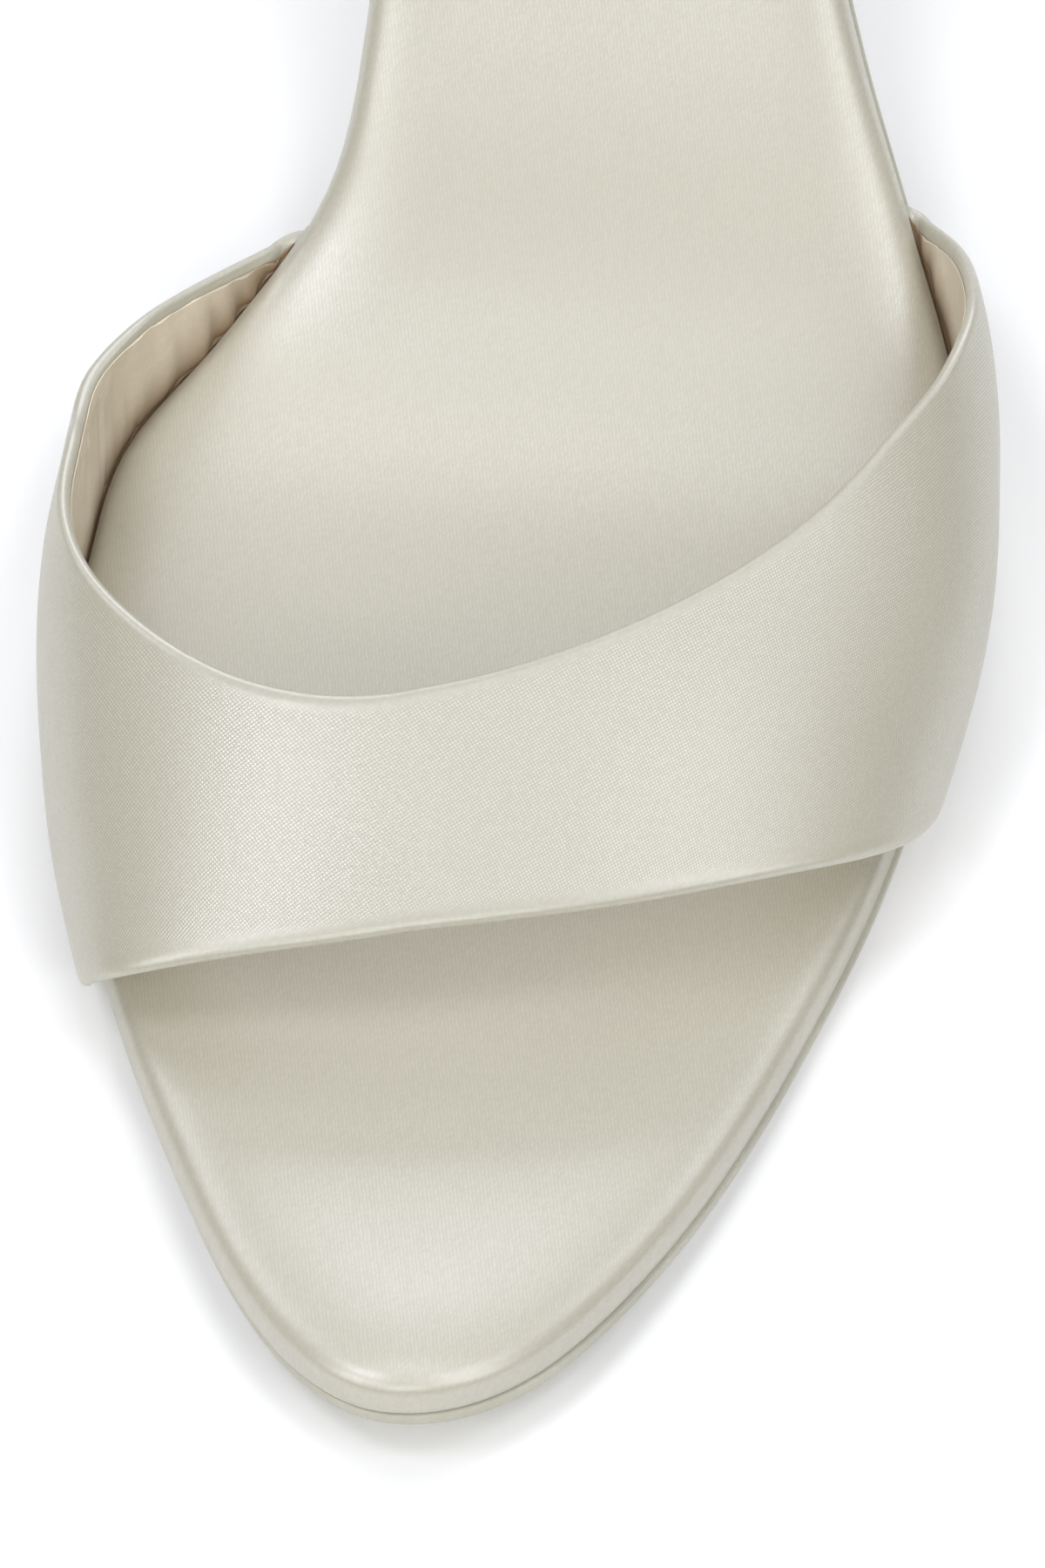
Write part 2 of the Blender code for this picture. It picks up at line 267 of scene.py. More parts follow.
def sole_layer(name, rows, places, shift=0.0, skive=lambda side, along, inset, height: height):
    """Layer of the sole. A ring on its outline is extruded from row to row of its edge, low to high,
    and both ends are closed from the medial to the lateral side. The attribute "cloth" holds each
    point's place in mm on the flat cover, which is drawn over the edge from the top, and how smooth it
    is drawn there."""
    insets, heights = rows["inset"] * MM, rows["height"] * MM
    over = np.append(0, np.cumsum(np.hypot(np.diff(insets), np.diff(heights))))
    over = insets[-1] - (over[-1] - over)
    rim = np.array([edge(side or -1, angle) for side, angle in places])
    across_rim = np.array([inward(side or -1, angle) for side, angle in places])
    spots, cloths = [], []
    for inset, height, reach in zip(insets, heights, over):
        at = rim + inset * across_rim
        level = [skive(side, along, inset, height) for (side, _), along in zip(places, rim[:, 0])]
        spots.append(np.column_stack((at[:, 0], at[:, 1] + shift, level)))
        flat = (rim + reach * across_rim) / MM
        drawn = np.clip(DRAWN_REACH - inset / MM, 0, 1)
        cloths.append(np.column_stack((flat[:, 1], flat[:, 0], np.full(len(flat), drawn))))
    rings = [place(*spot.T) for spot in spots]
    bm = bmesh.new()
    first, last, number = grow_rings(bm, rings, {"cloth": cloths, "spot": spots})
    spot = bm.verts.layers.float_vector["spot"]
    side_of = [side for side, _ in places]
    for rim_edges in (first, last):
        banks = [item for item in rim_edges if abs(sum(side_of[vert[number]] for vert in item.verts)) == 2]
        rungs = bmesh.ops.bridge_loops(bm, edges=banks)["edges"]
        rungs = [item for item in rungs if {side_of[vert[number]] for vert in item.verts} == {-1, 1}]
        cut = bmesh.ops.subdivide_edges(bm, edges=rungs, cuts=RUNGS, use_grid_fill=True)["geom_inner"]
        for vert in cut:
            if isinstance(vert, bmesh.types.BMVert):
                vert.co = place(*vert[spot])
    bmesh.ops.holes_fill(bm, edges=[item for item in bm.edges if item.is_boundary], sides=0)
    bm.verts.layers.float_vector.remove(bm.verts.layers.float_vector["spot"])
    return mesh_from(bm, name)


def new_object(name, data):
    """New object in the scene."""
    item = bpy.data.objects.new(name, data)
    bpy.context.scene.collection.objects.link(item)
    return item


def add_piece(name, mesh, material, slot, *nodes):
    """Finished piece at the origin, smooth but for its sharp edges, riding on the shoe."""
    mesh.shade_smooth()
    mesh.set_sharp_from_angle(angle=SHARP_ANGLE)
    mesh.materials.append(material)
    piece = new_object(name, mesh)
    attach(piece, "root")
    if nodes:
        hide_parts(*nodes)
    return piece


def new_material(name):
    """New material: itself, its node tree and its shader's inputs."""
    material = bpy.data.materials.new(name)
    material.use_nodes = True
    return material, material.node_tree, material.node_tree.nodes["Principled BSDF"].inputs


def wire(tree, kind, inputs=None, **settings):
    """New shader node with its settings; its inputs are linked to sockets or set to values."""
    node = tree.nodes.new("ShaderNode" + kind)
    for name, value in settings.items():
        setattr(node, name, value)
    for name, value in (inputs or {}).items():
        if isinstance(value, bpy.types.NodeSocket):
            tree.links.new(value, node.inputs[name])
        else:
            node.inputs[name].default_value = value
    return node


def calc(tree, operation, first, second=0.0):
    """Output of a Math node."""
    return wire(tree, "Math", {0: first, 1: second}, operation=operation).outputs[0]


def node_group(name, inputs, outputs):
    """New shader node group with named float or vector inputs and float outputs; its two end nodes."""
    group = bpy.data.node_groups.new(name, "ShaderNodeTree")
    for label, value in inputs.items():
        kind = "NodeSocketVector" if value is None else "NodeSocketFloat"
        socket = group.interface.new_socket(name=label, in_out="INPUT", socket_type=kind)
        if value is not None:
            socket.default_value = value
    for label in outputs:
        group.interface.new_socket(name=label, in_out="OUTPUT", socket_type="NodeSocketFloat")
    return group, group.nodes.new("NodeGroupInput").outputs, group.nodes.new("NodeGroupOutput").inputs


WEAVE_DRIFT = 1.6               # scale of the unevenness, per mm
ROW_LUCK = 0.12                 # how far a row is shifted by chance, in floats
CAST_SCALE = 0.04               # of the slow changes of tone over the cloth, per mm
CAST = 0.12
WEAVE_RELIEF = 0.02 * MM
SATIN_IOR = 1.7


def satin_weave():
    """Satin seen close: bright floats lying end to end in slanting rows. Lengths are in mm."""
    group, given, out = node_group(
        "satin weave",
        {"Cloth": None, "Row Pitch": 0.3, "Float Length": 0.3, "Row Depth": 1.0, "Bead Depth": 0.9,
         "Slant": 0.0, "Row Angle": 0.6, "Unevenness": 0.05, "Glint": 0.3, "Drawn Smooth": 0.5},
        ("Height", "Shade"))
    drift = wire(group, "TexNoise", {"Vector": given["Cloth"], "Scale": WEAVE_DRIFT, "Detail": 1.0})
    centred = wire(group, "VectorMath", {0: drift.outputs["Color"], 1: (0.5, 0.5, 0.5)},
                   operation="SUBTRACT")
    bent = wire(group, "VectorMath", {0: centred.outputs[0], "Scale": given["Unevenness"]},
                operation="SCALE")
    moved = wire(group, "VectorMath", {0: given["Cloth"], 1: bent.outputs[0]}, operation="ADD")
    turned = wire(group, "VectorRotate", {"Vector": moved.outputs[0], "Angle": given["Row Angle"]},
                  rotation_type="Z_AXIS", invert=True)
    run = wire(group, "SeparateXYZ", {"Vector": turned.outputs[0]}).outputs
    rows = calc(group, "DIVIDE", run["Y"], given["Row Pitch"])
    row = calc(group, "FLOOR", rows)
    ridge = calc(group, "SINE", calc(group, "MULTIPLY", calc(group, "FRACT", rows), math.pi))
    ditch = calc(group, "MULTIPLY", calc(group, "SUBTRACT", 1.0, ridge), given["Row Depth"])
    drawn = wire(group, "SeparateXYZ", {"Vector": given["Cloth"]}).outputs["Z"]
    luck = wire(group, "TexWhiteNoise", {"W": row}, noise_dimensions="1D").outputs["Value"]
    slant = calc(group, "MULTIPLY", rows, given["Slant"])
    stagger = calc(group, "ADD", slant, calc(group, "MULTIPLY", luck, ROW_LUCK))
    floats = calc(group, "ADD", calc(group, "DIVIDE", run["X"], given["Float Length"]), stagger)
    bead = calc(group, "SINE", calc(group, "MULTIPLY", calc(group, "FRACT", floats), math.pi))
    dip = calc(group, "MULTIPLY", calc(group, "SUBTRACT", 1.0, bead), given["Bead Depth"])
    height = calc(group, "MULTIPLY", calc(group, "SUBTRACT", 1.0, ditch), calc(group, "SUBTRACT", 1.0, dip))
    height = wire(group, "Mix", {"Factor": drawn, "A": height, "B": given["Drawn Smooth"]})
    height = height.outputs["Result"]
    cell = wire(group, "CombineXYZ", {"X": row, "Y": calc(group, "FLOOR", floats)})
    chance = wire(group, "TexWhiteNoise", {"Vector": cell.outputs[0]}, noise_dimensions="2D")
    glint = calc(group, "SUBTRACT", chance.outputs["Value"], 0.5)
    glint = calc(group, "MULTIPLY", glint, given["Glint"])
    glint = calc(group, "ADD", glint, 1.0)
    group.links.new(height, out["Height"])
    group.links.new(calc(group, "MULTIPLY", height, glint), out["Shade"])
    return group


SATIN_WEAVE = satin_weave()


def satin(name, weave, dark, light, roughness, bump):
    """Satin material: weave sets the node group's inputs, dark and light are the colours between the
    floats and on them, bump is how strong the relief is."""
    material, tree, shader = new_material(name)
    cloth = wire(tree, "Attribute", attribute_name="cloth")
    woven = wire(tree, "Group", node_tree=SATIN_WEAVE)
    tree.links.new(cloth.outputs["Vector"], woven.inputs["Cloth"])
    for label, value in weave.items():
        woven.inputs[label].default_value = value
    cast = wire(tree, "TexNoise", {"Vector": cloth.outputs["Vector"], "Scale": CAST_SCALE, "Detail": 1.0})
    tone = calc(tree, "ADD", woven.outputs["Shade"], calc(tree, "MULTIPLY", cast.outputs["Fac"], CAST))
    tone = wire(tree, "Math", {0: tone, 1: CAST / 2}, operation="SUBTRACT", use_clamp=True).outputs[0]
    colour = wire(tree, "Mix", {"Factor": tone, "A": (*dark, 1), "B": (*light, 1)}, data_type="RGBA")
    tree.links.new(colour.outputs["Result"], shader["Base Color"])
    gloss = wire(tree, "MapRange", {"Value": tone, "To Min": roughness + 0.08, "To Max": roughness - 0.05})
    tree.links.new(gloss.outputs[0], shader["Roughness"])
    relief = wire(tree, "Bump", {"Height": woven.outputs["Height"], "Strength": bump,
                                 "Distance": WEAVE_RELIEF})
    tree.links.new(relief.outputs[0], shader["Normal"])
    shader["IOR"].default_value = SATIN_IOR
    shader["Specular IOR Level"].default_value = 1.0
    return material


def strap_ends(side):
    """Front and rear edge of the strap where it passes under the board on one side."""
    return strap_edge("front", side) - GAP, strap_edge("rear", side) + GAP


def skived(side, along, inset, height):
    """Height of the board's underside, raised over the ends of the strap."""
    low = -INSOLE_THICKNESS
    if side == 0 or height > SKIVE_FROM or inset > STRAP_MARGIN:
        return height
    front, rear = strap_ends(side)
    if not front < along < rear:
        return height
    roof = STRAP_THICKNESS + GAP - INSOLE_THICKNESS
    return roof + (height - low) * (SKIVE_FROM - roof) / (SKIVE_FROM - low)


sock_satin = satin(
    "sock_satin",
    {"Row Pitch": 0.315, "Float Length": 0.23, "Row Depth": 0.55, "Bead Depth": 0.6, "Slant": 1.0,
     "Row Angle": math.radians(100), "Unevenness": 0.16, "Glint": 0.45, "Drawn Smooth": 0.62},
    (0.40, 0.38, 0.295), (0.555, 0.53, 0.435), 0.36, 0.3)
insole_mesh = sole_layer("insole_satin", INSOLE_EDGE, stations(INSOLE_LENGTH, strap_ends), skive=skived)
insole = add_piece("insole_padded", insole_mesh, sock_satin, "sock_satin", "insole")

# ---------------------------------------------------------------------------------------------------
# Outsole. Thin leather, glued on from the toe to the heel breast, its cut edge smoothed and dyed a
# greenish grey ivory. It shows as a narrow strip along the lateral side and round the toe.
# ---------------------------------------------------------------------------------------------------
OUTSOLE_SHIFT = 0.3 * MM
OUTSOLE_END = 79.5 * PERCENT * INSOLE_LENGTH
OUTSOLE_EDGE = table(
    ("inset", "height"),
    (1.4, -6.2),
    (0.7, -6.17),
    (0.32, -6.02),
    (0.1, -5.75),
    (0, -5.35),
    (0, -4.85),
    (0.05, -4.68),
    (0.25, -4.6),
)


def plain(name, dark, light, roughness, scale, bump):
    """Leather or rubber: a mottled colour with a fine grain, scale in grains per mm."""
    material, tree, shader = new_material(name)
    spot = wire(tree, "TexCoord").outputs["Object"]
    mottle = wire(tree, "TexNoise", {"Vector": spot, "Scale": scale * 60, "Detail": 4.0})
    grain = wire(tree, "TexNoise", {"Vector": spot, "Scale": scale / MM, "Detail": 3.0, "Roughness": 0.6})
    tone = calc(tree, "MULTIPLY", mottle.outputs["Fac"], calc(tree, "ADD", grain.outputs["Fac"], 0.5))
    colour = wire(tree, "Mix", {"Factor": tone, "A": (*dark, 1), "B": (*light, 1)}, data_type="RGBA")
    tree.links.new(colour.outputs["Result"], shader["Base Color"])
    relief = wire(tree, "Bump", {"Height": grain.outputs["Fac"], "Strength": bump, "Distance": 0.05 * MM})
    tree.links.new(relief.outputs[0], shader["Normal"])
    shader["Roughness"].default_value = roughness
    return material


sole_leather = plain("sole_leather", (0.42, 0.405, 0.33), (0.60, 0.585, 0.49), 0.55, 2.0, 0.2)
outsole_mesh = sole_layer("outsole", OUTSOLE_EDGE, stations(OUTSOLE_END), OUTSOLE_SHIFT)
add_piece("outsole_leather", outsole_mesh, sole_leather, "outsole_leather", "outsole")

# ---------------------------------------------------------------------------------------------------
# Strap. Ivory satin glued over a stiffening interlining, its front and rear edges folded round and
# turned in, its two ends turned under the insole. One wide band over the toe joints, cut lower at
# the front on the lateral side.
# ---------------------------------------------------------------------------------------------------
INSTEP_HEIGHT = 41.0 * MM
CROWN_POWER = 2.35              # 2 is an ellipse, more is squarer
BULGE_AT = 0.75                 # around, where the strap is widest
FEATHER_AT = 0.93               # around, where it turns under the insole
SIDE_PACE = 0.55                # pace at the top and foot of the side, so that the edges run on smoothly
SHELL_THICKNESS = 1.3 * MM
FOLD_SHOULDER = 1.2 * MM        # where the outside begins to round over into the folded edge
FOLD_INSIDE = 1.3 * MM
FOLD_SMOOTH = 2.0               # mm in from the fold, up to where the satin is stretched smooth
STRAP_ROWS = 48

# Outside of the strap: crown across in mm, its height in percent of the instep height, how far each
# side stands out past the insole's edge and the height where it is widest, in mm
LAST = table(
    ("along", "crown", "height", "medial", "lateral", "bulge"),
    (12, -3, 25, 3.9, 3.9, 4),
    (18, -3, 42, 2.7, 5.0, 3),
    (24, -3, 54, 2.0, 4.0, 5),
    (31, -3, 65, 2.0, 3.9, 9),
    (37, -4, 79, 2.3, 2.9, 11.7),
    (43, -4, 90, 6.8, 3.2, 12.1),
    (49, -2, 99, 11.0, 4.9, 12.6),
    (55, 0, 107, 14.9, 6.6, 13.6),
)


def side_fall(part):
    """Share of the side's height passed at a share of the way down it, slower near both ends."""
    return part**2 * (3 - 2 * part) + SIDE_PACE * part * (1 - part) * (1 - 2 * part)


def strap_surface(around, margin, along):
    """Points on the outside of the strap at places along the insole; around and margin are one number."""
    percent = along / INSOLE_LENGTH / PERCENT
    crown, height, medial, lateral, bulge = (
        smooth(LAST["along"], LAST[column], percent)
        for column in ("crown", "height", "medial", "lateral", "bulge"))
    side = -1 if around < 0 else 1
    crown_height = height * PERCENT * INSTEP_HEIGHT
    bulge_height = bulge * MM
    board_edge = edge(side, turn(along))[:, 1]
    slant = abs(inward(side, turn(along))[:, 1])
    widest = board_edge + side * (medial if side < 0 else lateral) * MM
    turn_radius = STRAP_THICKNESS + GAP
    feather = board_edge + side * turn_radius / slant
    feather_height = turn_radius - INSOLE_THICKNESS
    reach = abs(around)
    if reach < BULGE_AT:
        angle = math.pi / 2 * (1 - reach / BULGE_AT)
        radius = (math.cos(angle) ** CROWN_POWER + math.sin(angle) ** CROWN_POWER) ** (-1 / CROWN_POWER)
        across = crown * MM + (widest - crown * MM) * radius * math.cos(angle)
        level = bulge_height + (crown_height - bulge_height) * radius * math.sin(angle)
    elif reach < FEATHER_AT:
        down = side_fall((reach - BULGE_AT) / (FEATHER_AT - BULGE_AT))
        across = widest + (feather - widest) * (1 - math.cos(down * math.pi / 2))
        level = bulge_height + (feather_height - bulge_height) * down
    else:
        angle = (reach - FEATHER_AT) / (1 - FEATHER_AT) * math.pi / 2
        across = board_edge + (feather - board_edge) * math.cos(angle) - side * margin
        level = feather_height - turn_radius * math.sin(angle)
    return place(along, across, level)


def strap_columns(fine):
    """Places around the strap from its medial end to its lateral end: around, margin turned under."""
    half = []
    for start, stop, count in ((0, 0.6, 44), (0.6, BULGE_AT, 20), (BULGE_AT, FEATHER_AT, 24),
                               (FEATHER_AT, 1, 12)):
        half += [(around, 0.0) for around in np.linspace(start, stop, round(count * fine) + 1)[1:]]
    half += [(1, margin) for margin in np.linspace(0, STRAP_MARGIN, 7)[1:]]
    medial = [(-around, margin) for around, margin in half[::-1]]
    return medial + [(0, 0.0)] + half


def band(name, columns, trims, faces, outer, thickness, rounding, mark,
         rise=lambda around, along: 0.0 * along):
    """Band that follows the strap, as rings round its width with rounded edges. trims are taken off its
    front and rear edge at each column; faces are the places across its outer and its inner face, 0 at
    the front and 1 at the rear; outer is its depth below the strap's outside; rounding is how far in its
    edges round over, outside and inside; mark(around, from_edge) is the third value of "cloth";
    rise(around, along) swells its inner face."""
    outside, inside = faces
    shoulder, hem = rounding
    swing = np.linspace(0, math.pi, 15)[1:-1]
    reach = np.where(swing < math.pi / 2, shoulder, hem) * (1 - np.sin(swing))
    sink = thickness / 2 * (1 - np.cos(swing))
    half = len(inside) // 2
    depth = np.concatenate((np.full(len(inside) - half, thickness), sink[::-1],
                            np.zeros(len(outside)), sink, np.full(half, thickness)))
    middle = len(inside) - half + len(swing) + len(outside) // 2
    step = 0.05 * MM
    rings, cloths, marks = [], [], []
    for number, (around, margin) in enumerate(columns):
        front = strap_edge("front", around) + trims[0][number]
        rear = strap_edge("rear", around) - trims[1][number]
        top = front + shoulder + (rear - front - 2 * shoulder) * outside
        below = (rear - hem - (rear - front - 2 * hem) * (1 - inside))[::-1]
        along = np.concatenate((below[half:], (front + reach)[::-1], top, rear - reach, below[:half]))
        low, high = columns[max(number - 1, 0)], columns[min(number + 1, len(columns) - 1)]
        around_it = strap_surface(*high, along) - strap_surface(*low, along)
        along_it = strap_surface(around, margin, along + step) - strap_surface(around, margin, along - step)
        normal = np.cross(around_it, along_it)
        normal /= np.linalg.norm(normal, axis=-1, keepdims=True)
        lift = -outer - depth - depth / thickness * rise(around, along)
        ring = strap_surface(around, margin, along) + normal * lift[:, None]
        arc = np.append(0, np.cumsum(np.linalg.norm(np.diff(ring, axis=0), axis=1)))
        from_edge = 0.0 * along
        from_edge[len(below) - half + len(swing):][:len(top)] = np.minimum(top - front, rear - top)
        rings.append(ring)
        cloths.append((arc - arc[middle] + along[middle]) / MM)
        marks.append(mark(around, from_edge))
    middles = np.array([ring[middle] for ring in rings])
    round_it = np.append(0, np.cumsum(np.linalg.norm(np.diff(middles, axis=0), axis=1))) / MM
    round_it -= round_it[len(columns) // 2]
    cloths = [np.column_stack((np.full(len(y), x), y, z)) for x, y, z in zip(round_it, cloths, marks)]
    return ringed(name, rings, cloths)


def ringed(name, rings, cloths, corners=(), ease=0.0):
    """Solid through rings of points, from a grid rolled into a tube and capped at both ends. The edges
    along it at the numbered corners of the rings are eased by a bevel."""
    bm = bmesh.new()
    cloth = bm.verts.layers.float_vector.new("cloth")
    column = bm.verts.layers.int.new("column")
    count = len(rings[0])
    bmesh.ops.create_grid(bm, x_segments=count, y_segments=len(rings) - 1, size=1)
    for number, vert in enumerate(bm.verts):
        row, place_in_row = divmod(number, count + 1)
        vert.co = rings[row][place_in_row % count]
        vert[cloth] = cloths[row][place_in_row % count]
        vert[column] = place_in_row % count
    seam = [vert for number, vert in enumerate(bm.verts) if number % (count + 1) in (0, count)]
    bmesh.ops.remove_doubles(bm, verts=seam, dist=0.0001 * MM)
    upright = [item for item in bm.edges
               if item.verts[0][column] == item.verts[1][column] and item.verts[0][column] in corners]
    bm.verts.layers.int.remove(column)
    if upright:
        bmesh.ops.bevel(bm, geom=upright, offset=ease, segments=4, profile=0.5, affect="EDGES", material=-1)
    bmesh.ops.holes_fill(bm, edges=[item for item in bm.edges if item.is_boundary], sides=0)
    return mesh_from(bm, name)


strap_satin = satin(
    "strap_satin",
    {"Row Pitch": 0.285, "Float Length": 0.285, "Row Depth": 1.0, "Bead Depth": 0.9, "Slant": 0.03,
     "Row Angle": math.radians(35), "Unevenness": 0.05, "Glint": 0.4, "Drawn Smooth": 0.42},
    (0.36, 0.34, 0.26), (0.60, 0.575, 0.475), 0.34, 0.6)
columns = strap_columns(1.0)
flush = np.zeros(len(columns))
across_strap = np.linspace(0, 1, STRAP_ROWS)
strap_mesh = band("strap", columns, (flush, flush), (across_strap, across_strap), 0.0, SHELL_THICKNESS,
                  (FOLD_SHOULDER, FOLD_INSIDE),
                  lambda around, from_edge: np.clip(FOLD_SMOOTH - from_edge / MM, 0, 1))
add_piece("strap_satin", strap_mesh, strap_satin, "satin", "upper")

# ---------------------------------------------------------------------------------------------------
# Lining. Thin beige leather glued inside the strap, trimmed by hand a little short of the folded
# edges. It gathers into small puckers where it is drawn down beside the insole.
# ---------------------------------------------------------------------------------------------------
LINING_THICKNESS = 0.12 * MM
LINING_INSET = 1.1 * MM
LINING_UNEVEN = 0.15 * MM       # how far the hand-trimmed edge strays
AROUND_STRAP = 75.0             # mm down the side of the strap for 1 of around
WRINKLE_PITCH = 1.2             # mm from one fine wrinkle of the lining to the next
WRINKLE_SLANT = 0.5             # towards the toe, in mm for each mm down
WRINKLE_RISE = (0.17, 0.05)     # mm, medial and lateral
WRINKLE_LENGTH = 14.0           # mm
WRINKLE_SHARPNESS = 5.0
FREE_OF_WRINKLES = 1.5          # mm beside the rear edge
FOOT_ROOM = 0.06                # of around, over which the lining lies down again at the insole
PAINTED_SHADE_FROM = 0.86               # around, where painted shade of the gap beside the insole begins to darken the leather
PAINTED_SHADE_WIDTH = 0.07
LINING_EDGE = 0.08 * MM
# Colour of the painted shade in the gap between the lining and the insole
PAINTED_GAP_SHADE = (0.28, 0.19, 0.11)

# Puckers of the lining from their upper to their lower end: around, percent of the length, then half
# width and rise in mm; a ridge rises and a trough, less than 0, lies between ridges
PUCKERS = table(
    ("top", "top_along", "foot", "foot_along", "width", "rise"),
    (-0.90, 48.0, -0.98, 46.4, 0.7, 0.35),
    (-0.92, 47.2, -0.98, 45.7, 0.5, -0.3),
    (-0.88, 46.7, -0.98, 45.1, 0.7, 0.42),
    (-0.90, 46.0, -0.98, 45.0, 0.5, -0.42),
    (-0.87, 45.7, -0.98, 44.2, 0.7, 0.42),
    (-0.89, 45.2, -0.98, 43.6, 0.5, -0.4),
    (-0.88, 44.8, -0.98, 43.0, 0.8, 0.40),
    (-0.89, 44.1, -0.97, 42.4, 0.5, -0.3),
    (-0.86, 44.0, -0.97, 42.0, 0.8, 0.32),
    (-0.83, 43.6, -0.93, 41.8, 0.5, -0.12),
    (-0.82, 43.1, -0.93, 41.1, 0.8, 0.22),
    (-0.82, 42.4, -0.91, 40.9, 0.4, -0.12),
    (-0.80, 41.9, -0.92, 40.1, 0.8, 0.18),
    (-0.81, 40.8, -0.90, 39.4, 0.5, 0.12),
    (-0.80, 40.2, -0.89, 39.2, 0.3, -0.10),
    (-0.80, 39.0, -0.90, 38.0, 0.8, 0.12),
    (0.88, 48.2, 0.96, 47.0, 0.8, 0.22),
    (0.90, 47.4, 0.97, 46.2, 0.5, -0.12),
    (0.88, 46.8, 0.97, 45.4, 0.9, 0.15),
)


def puckered(around, along):
    """How far the lining stands in from the strap at places along the insole."""
    down = abs(around) * AROUND_STRAP
    rise = WRINKLE_RISE[0 if around < 0 else 1]
    spots = (along / MM + WRINKLE_SLANT * down) / WRINKLE_PITCH
    hills = np.array([noise.noise(Vector((spot, down / WRINKLE_LENGTH, 0))) for spot in spots])
    swell = rise * (1 - WRINKLE_SHARPNESS * hills**2)
    from_rear = (strap_edge("rear", around) - along) / MM
    swell *= np.clip((from_rear - FREE_OF_WRINKLES) / 3, 0, 1)
    foot_room = min((1 - abs(around)) / FOOT_ROOM, 1)
    for top, top_along, foot, foot_along, width, height in zip(*PUCKERS.values()):
        start = np.array((top_along * PERCENT * INSOLE_LENGTH / MM, abs(top) * AROUND_STRAP))
        end = np.array((foot_along * PERCENT * INSOLE_LENGTH / MM, abs(foot) * AROUND_STRAP))
        if around * top < 0:
            continue
        length = np.linalg.norm(end - start)
        line = (end - start) / length
        from_start = np.column_stack((along / MM, np.full(len(along), down))) - start
        beside = from_start @ (line[1], -line[0])
        beyond = np.abs(from_start @ line - length / 2) / (length / 2)
        swell += height * np.exp(-(beside / width)**2) / (1 + beyond**6)
    return np.maximum(swell, 0) * foot_room * MM


def painted_shade_at_foot(around, from_edge):
    """How far the leather's colour is darkened by painted shade beside the insole, standing in for the
    shadow in the gap there.
    """
    return 0.0 * from_edge + np.clip((abs(around) - PAINTED_SHADE_FROM) / PAINTED_SHADE_WIDTH, 0, 1) ** 1.5


lining_leather = plain("thin_leather", (0.60, 0.515, 0.385), (0.85, 0.76, 0.61), 0.55, 1.5, 0.3)
tree = lining_leather.node_tree
bare = tree.nodes["Principled BSDF"].inputs["Base Color"]
cloth = wire(tree, "Attribute", attribute_name="cloth")
# Painted shade: the lining's colour is mixed towards dark brown near its foot, where the gap beside the
# insole lies in shadow
shade_painted = wire(tree, "SeparateXYZ", {"Vector": cloth.outputs["Vector"]}).outputs["Z"]
shade_painted = wire(tree, "Mix", {"Factor": shade_painted, "A": bare.links[0].from_socket, "B": (*PAINTED_GAP_SHADE, 1)},
             data_type="RGBA")
tree.links.new(shade_painted.outputs["Result"], bare)
lining_columns = [column for column in strap_columns(1.6) if abs(column[0]) < 1]
trimmed = [LINING_INSET + LINING_UNEVEN * round(3 * noise.noise(Vector((around * AROUND_STRAP, 0, 0)))) / 2
           for around, _ in lining_columns]
faces = np.linspace(0, 1, 30), np.append(np.linspace(0, 0.65, 30)[:-1], np.linspace(0.65, 1, 100))
lining_mesh = band("lining", lining_columns, (trimmed, trimmed), faces, SHELL_THICKNESS + 0.02 * MM,
                   LINING_THICKNESS, (LINING_EDGE, LINING_EDGE), painted_shade_at_foot, puckered)
add_piece("strap_lining", lining_mesh, lining_leather, "lining")

# ---------------------------------------------------------------------------------------------------
# Heel. Moulded heel covered in the strap's satin, drawn tight round it and glued with its seam down
# the middle of the breast; fixed up through the insole board.
# ---------------------------------------------------------------------------------------------------
HEEL_INSET = 1.0 * MM
TOP_PIECE_THICKNESS = 5.0 * MM
HEEL_STATIONS = 60
HEEL_LEVELS = 60
BREAST_STATIONS = 24
SEAM_WIDTH = 0.35 * MM          # either side of the seam down the breast
SEAM_DEPTH = 0.2 * MM
BREAST_EASE = 0.5 * MM

# Heel, from its seat down to its tip: percent of the way down, half width, back and breast in mm
HEEL = table(
    ("down", "half_width", "back", "breast"),
    (0, 24.3, 153.0, 109.0),
    (6, 20.5, 151.2, 115.5),
    (14, 15.5, 148.6, 121.5),
    (26, 11.0, 145.4, 126.0),
    (42, 8.3, 142.4, 128.2),
    (60, 7.0, 140.4, 128.4),
    (80, 6.4, 139.4, 127.7),
    (100, 6.3, 139.2, 126.8),
)


def heel_seat():
    """Loop of the heel's top: the medial side to the back, the lateral side forward and the breast."""
    angles = np.linspace(turn(OUTSOLE_END + GAP), math.pi, HEEL_STATIONS)
    medial, lateral = (edge(side, angles) + HEEL_INSET * inward(side, angles) for side in (-1, 1))
    breast = np.linspace(lateral[0], medial[0], BREAST_STATIONS + 1)[1:-1]
    loop = np.concatenate((medial, lateral[-2::-1], breast))
    return place(loop[:, 0], loop[:, 1], -INSOLE_THICKNESS - GAP)


def heel_ring(seat, down):
    """The seat's loop drawn in to its size some percent of the way down."""
    breast, back = seat[:, 1].min(), seat[:, 1].max()
    width, row_back, row_breast = (
        smooth(HEEL["down"], HEEL[column], down) * MM for column in ("half_width", "back", "breast"))
    behind = (seat[:, 1] - breast) / (back - breast)
    tip = TOP_PIECE_THICKNESS + GAP
    return np.column_stack((seat[:, 0] / seat[:, 0].max() * width,
                            row_breast + (row_back - row_breast) * behind,
                            seat[:, 2] + (tip - seat[:, 2]) * down * PERCENT))


def wrapped(ring):
    """Cloth places in mm round a ring, measured from its back."""
    arc = np.append(0, np.cumsum(np.linalg.norm(np.diff(ring, axis=0), axis=1)))
    arc -= arc[HEEL_STATIONS - 1]
    return np.column_stack((arc, ring[:, 2], np.zeros(len(ring)))) / MM


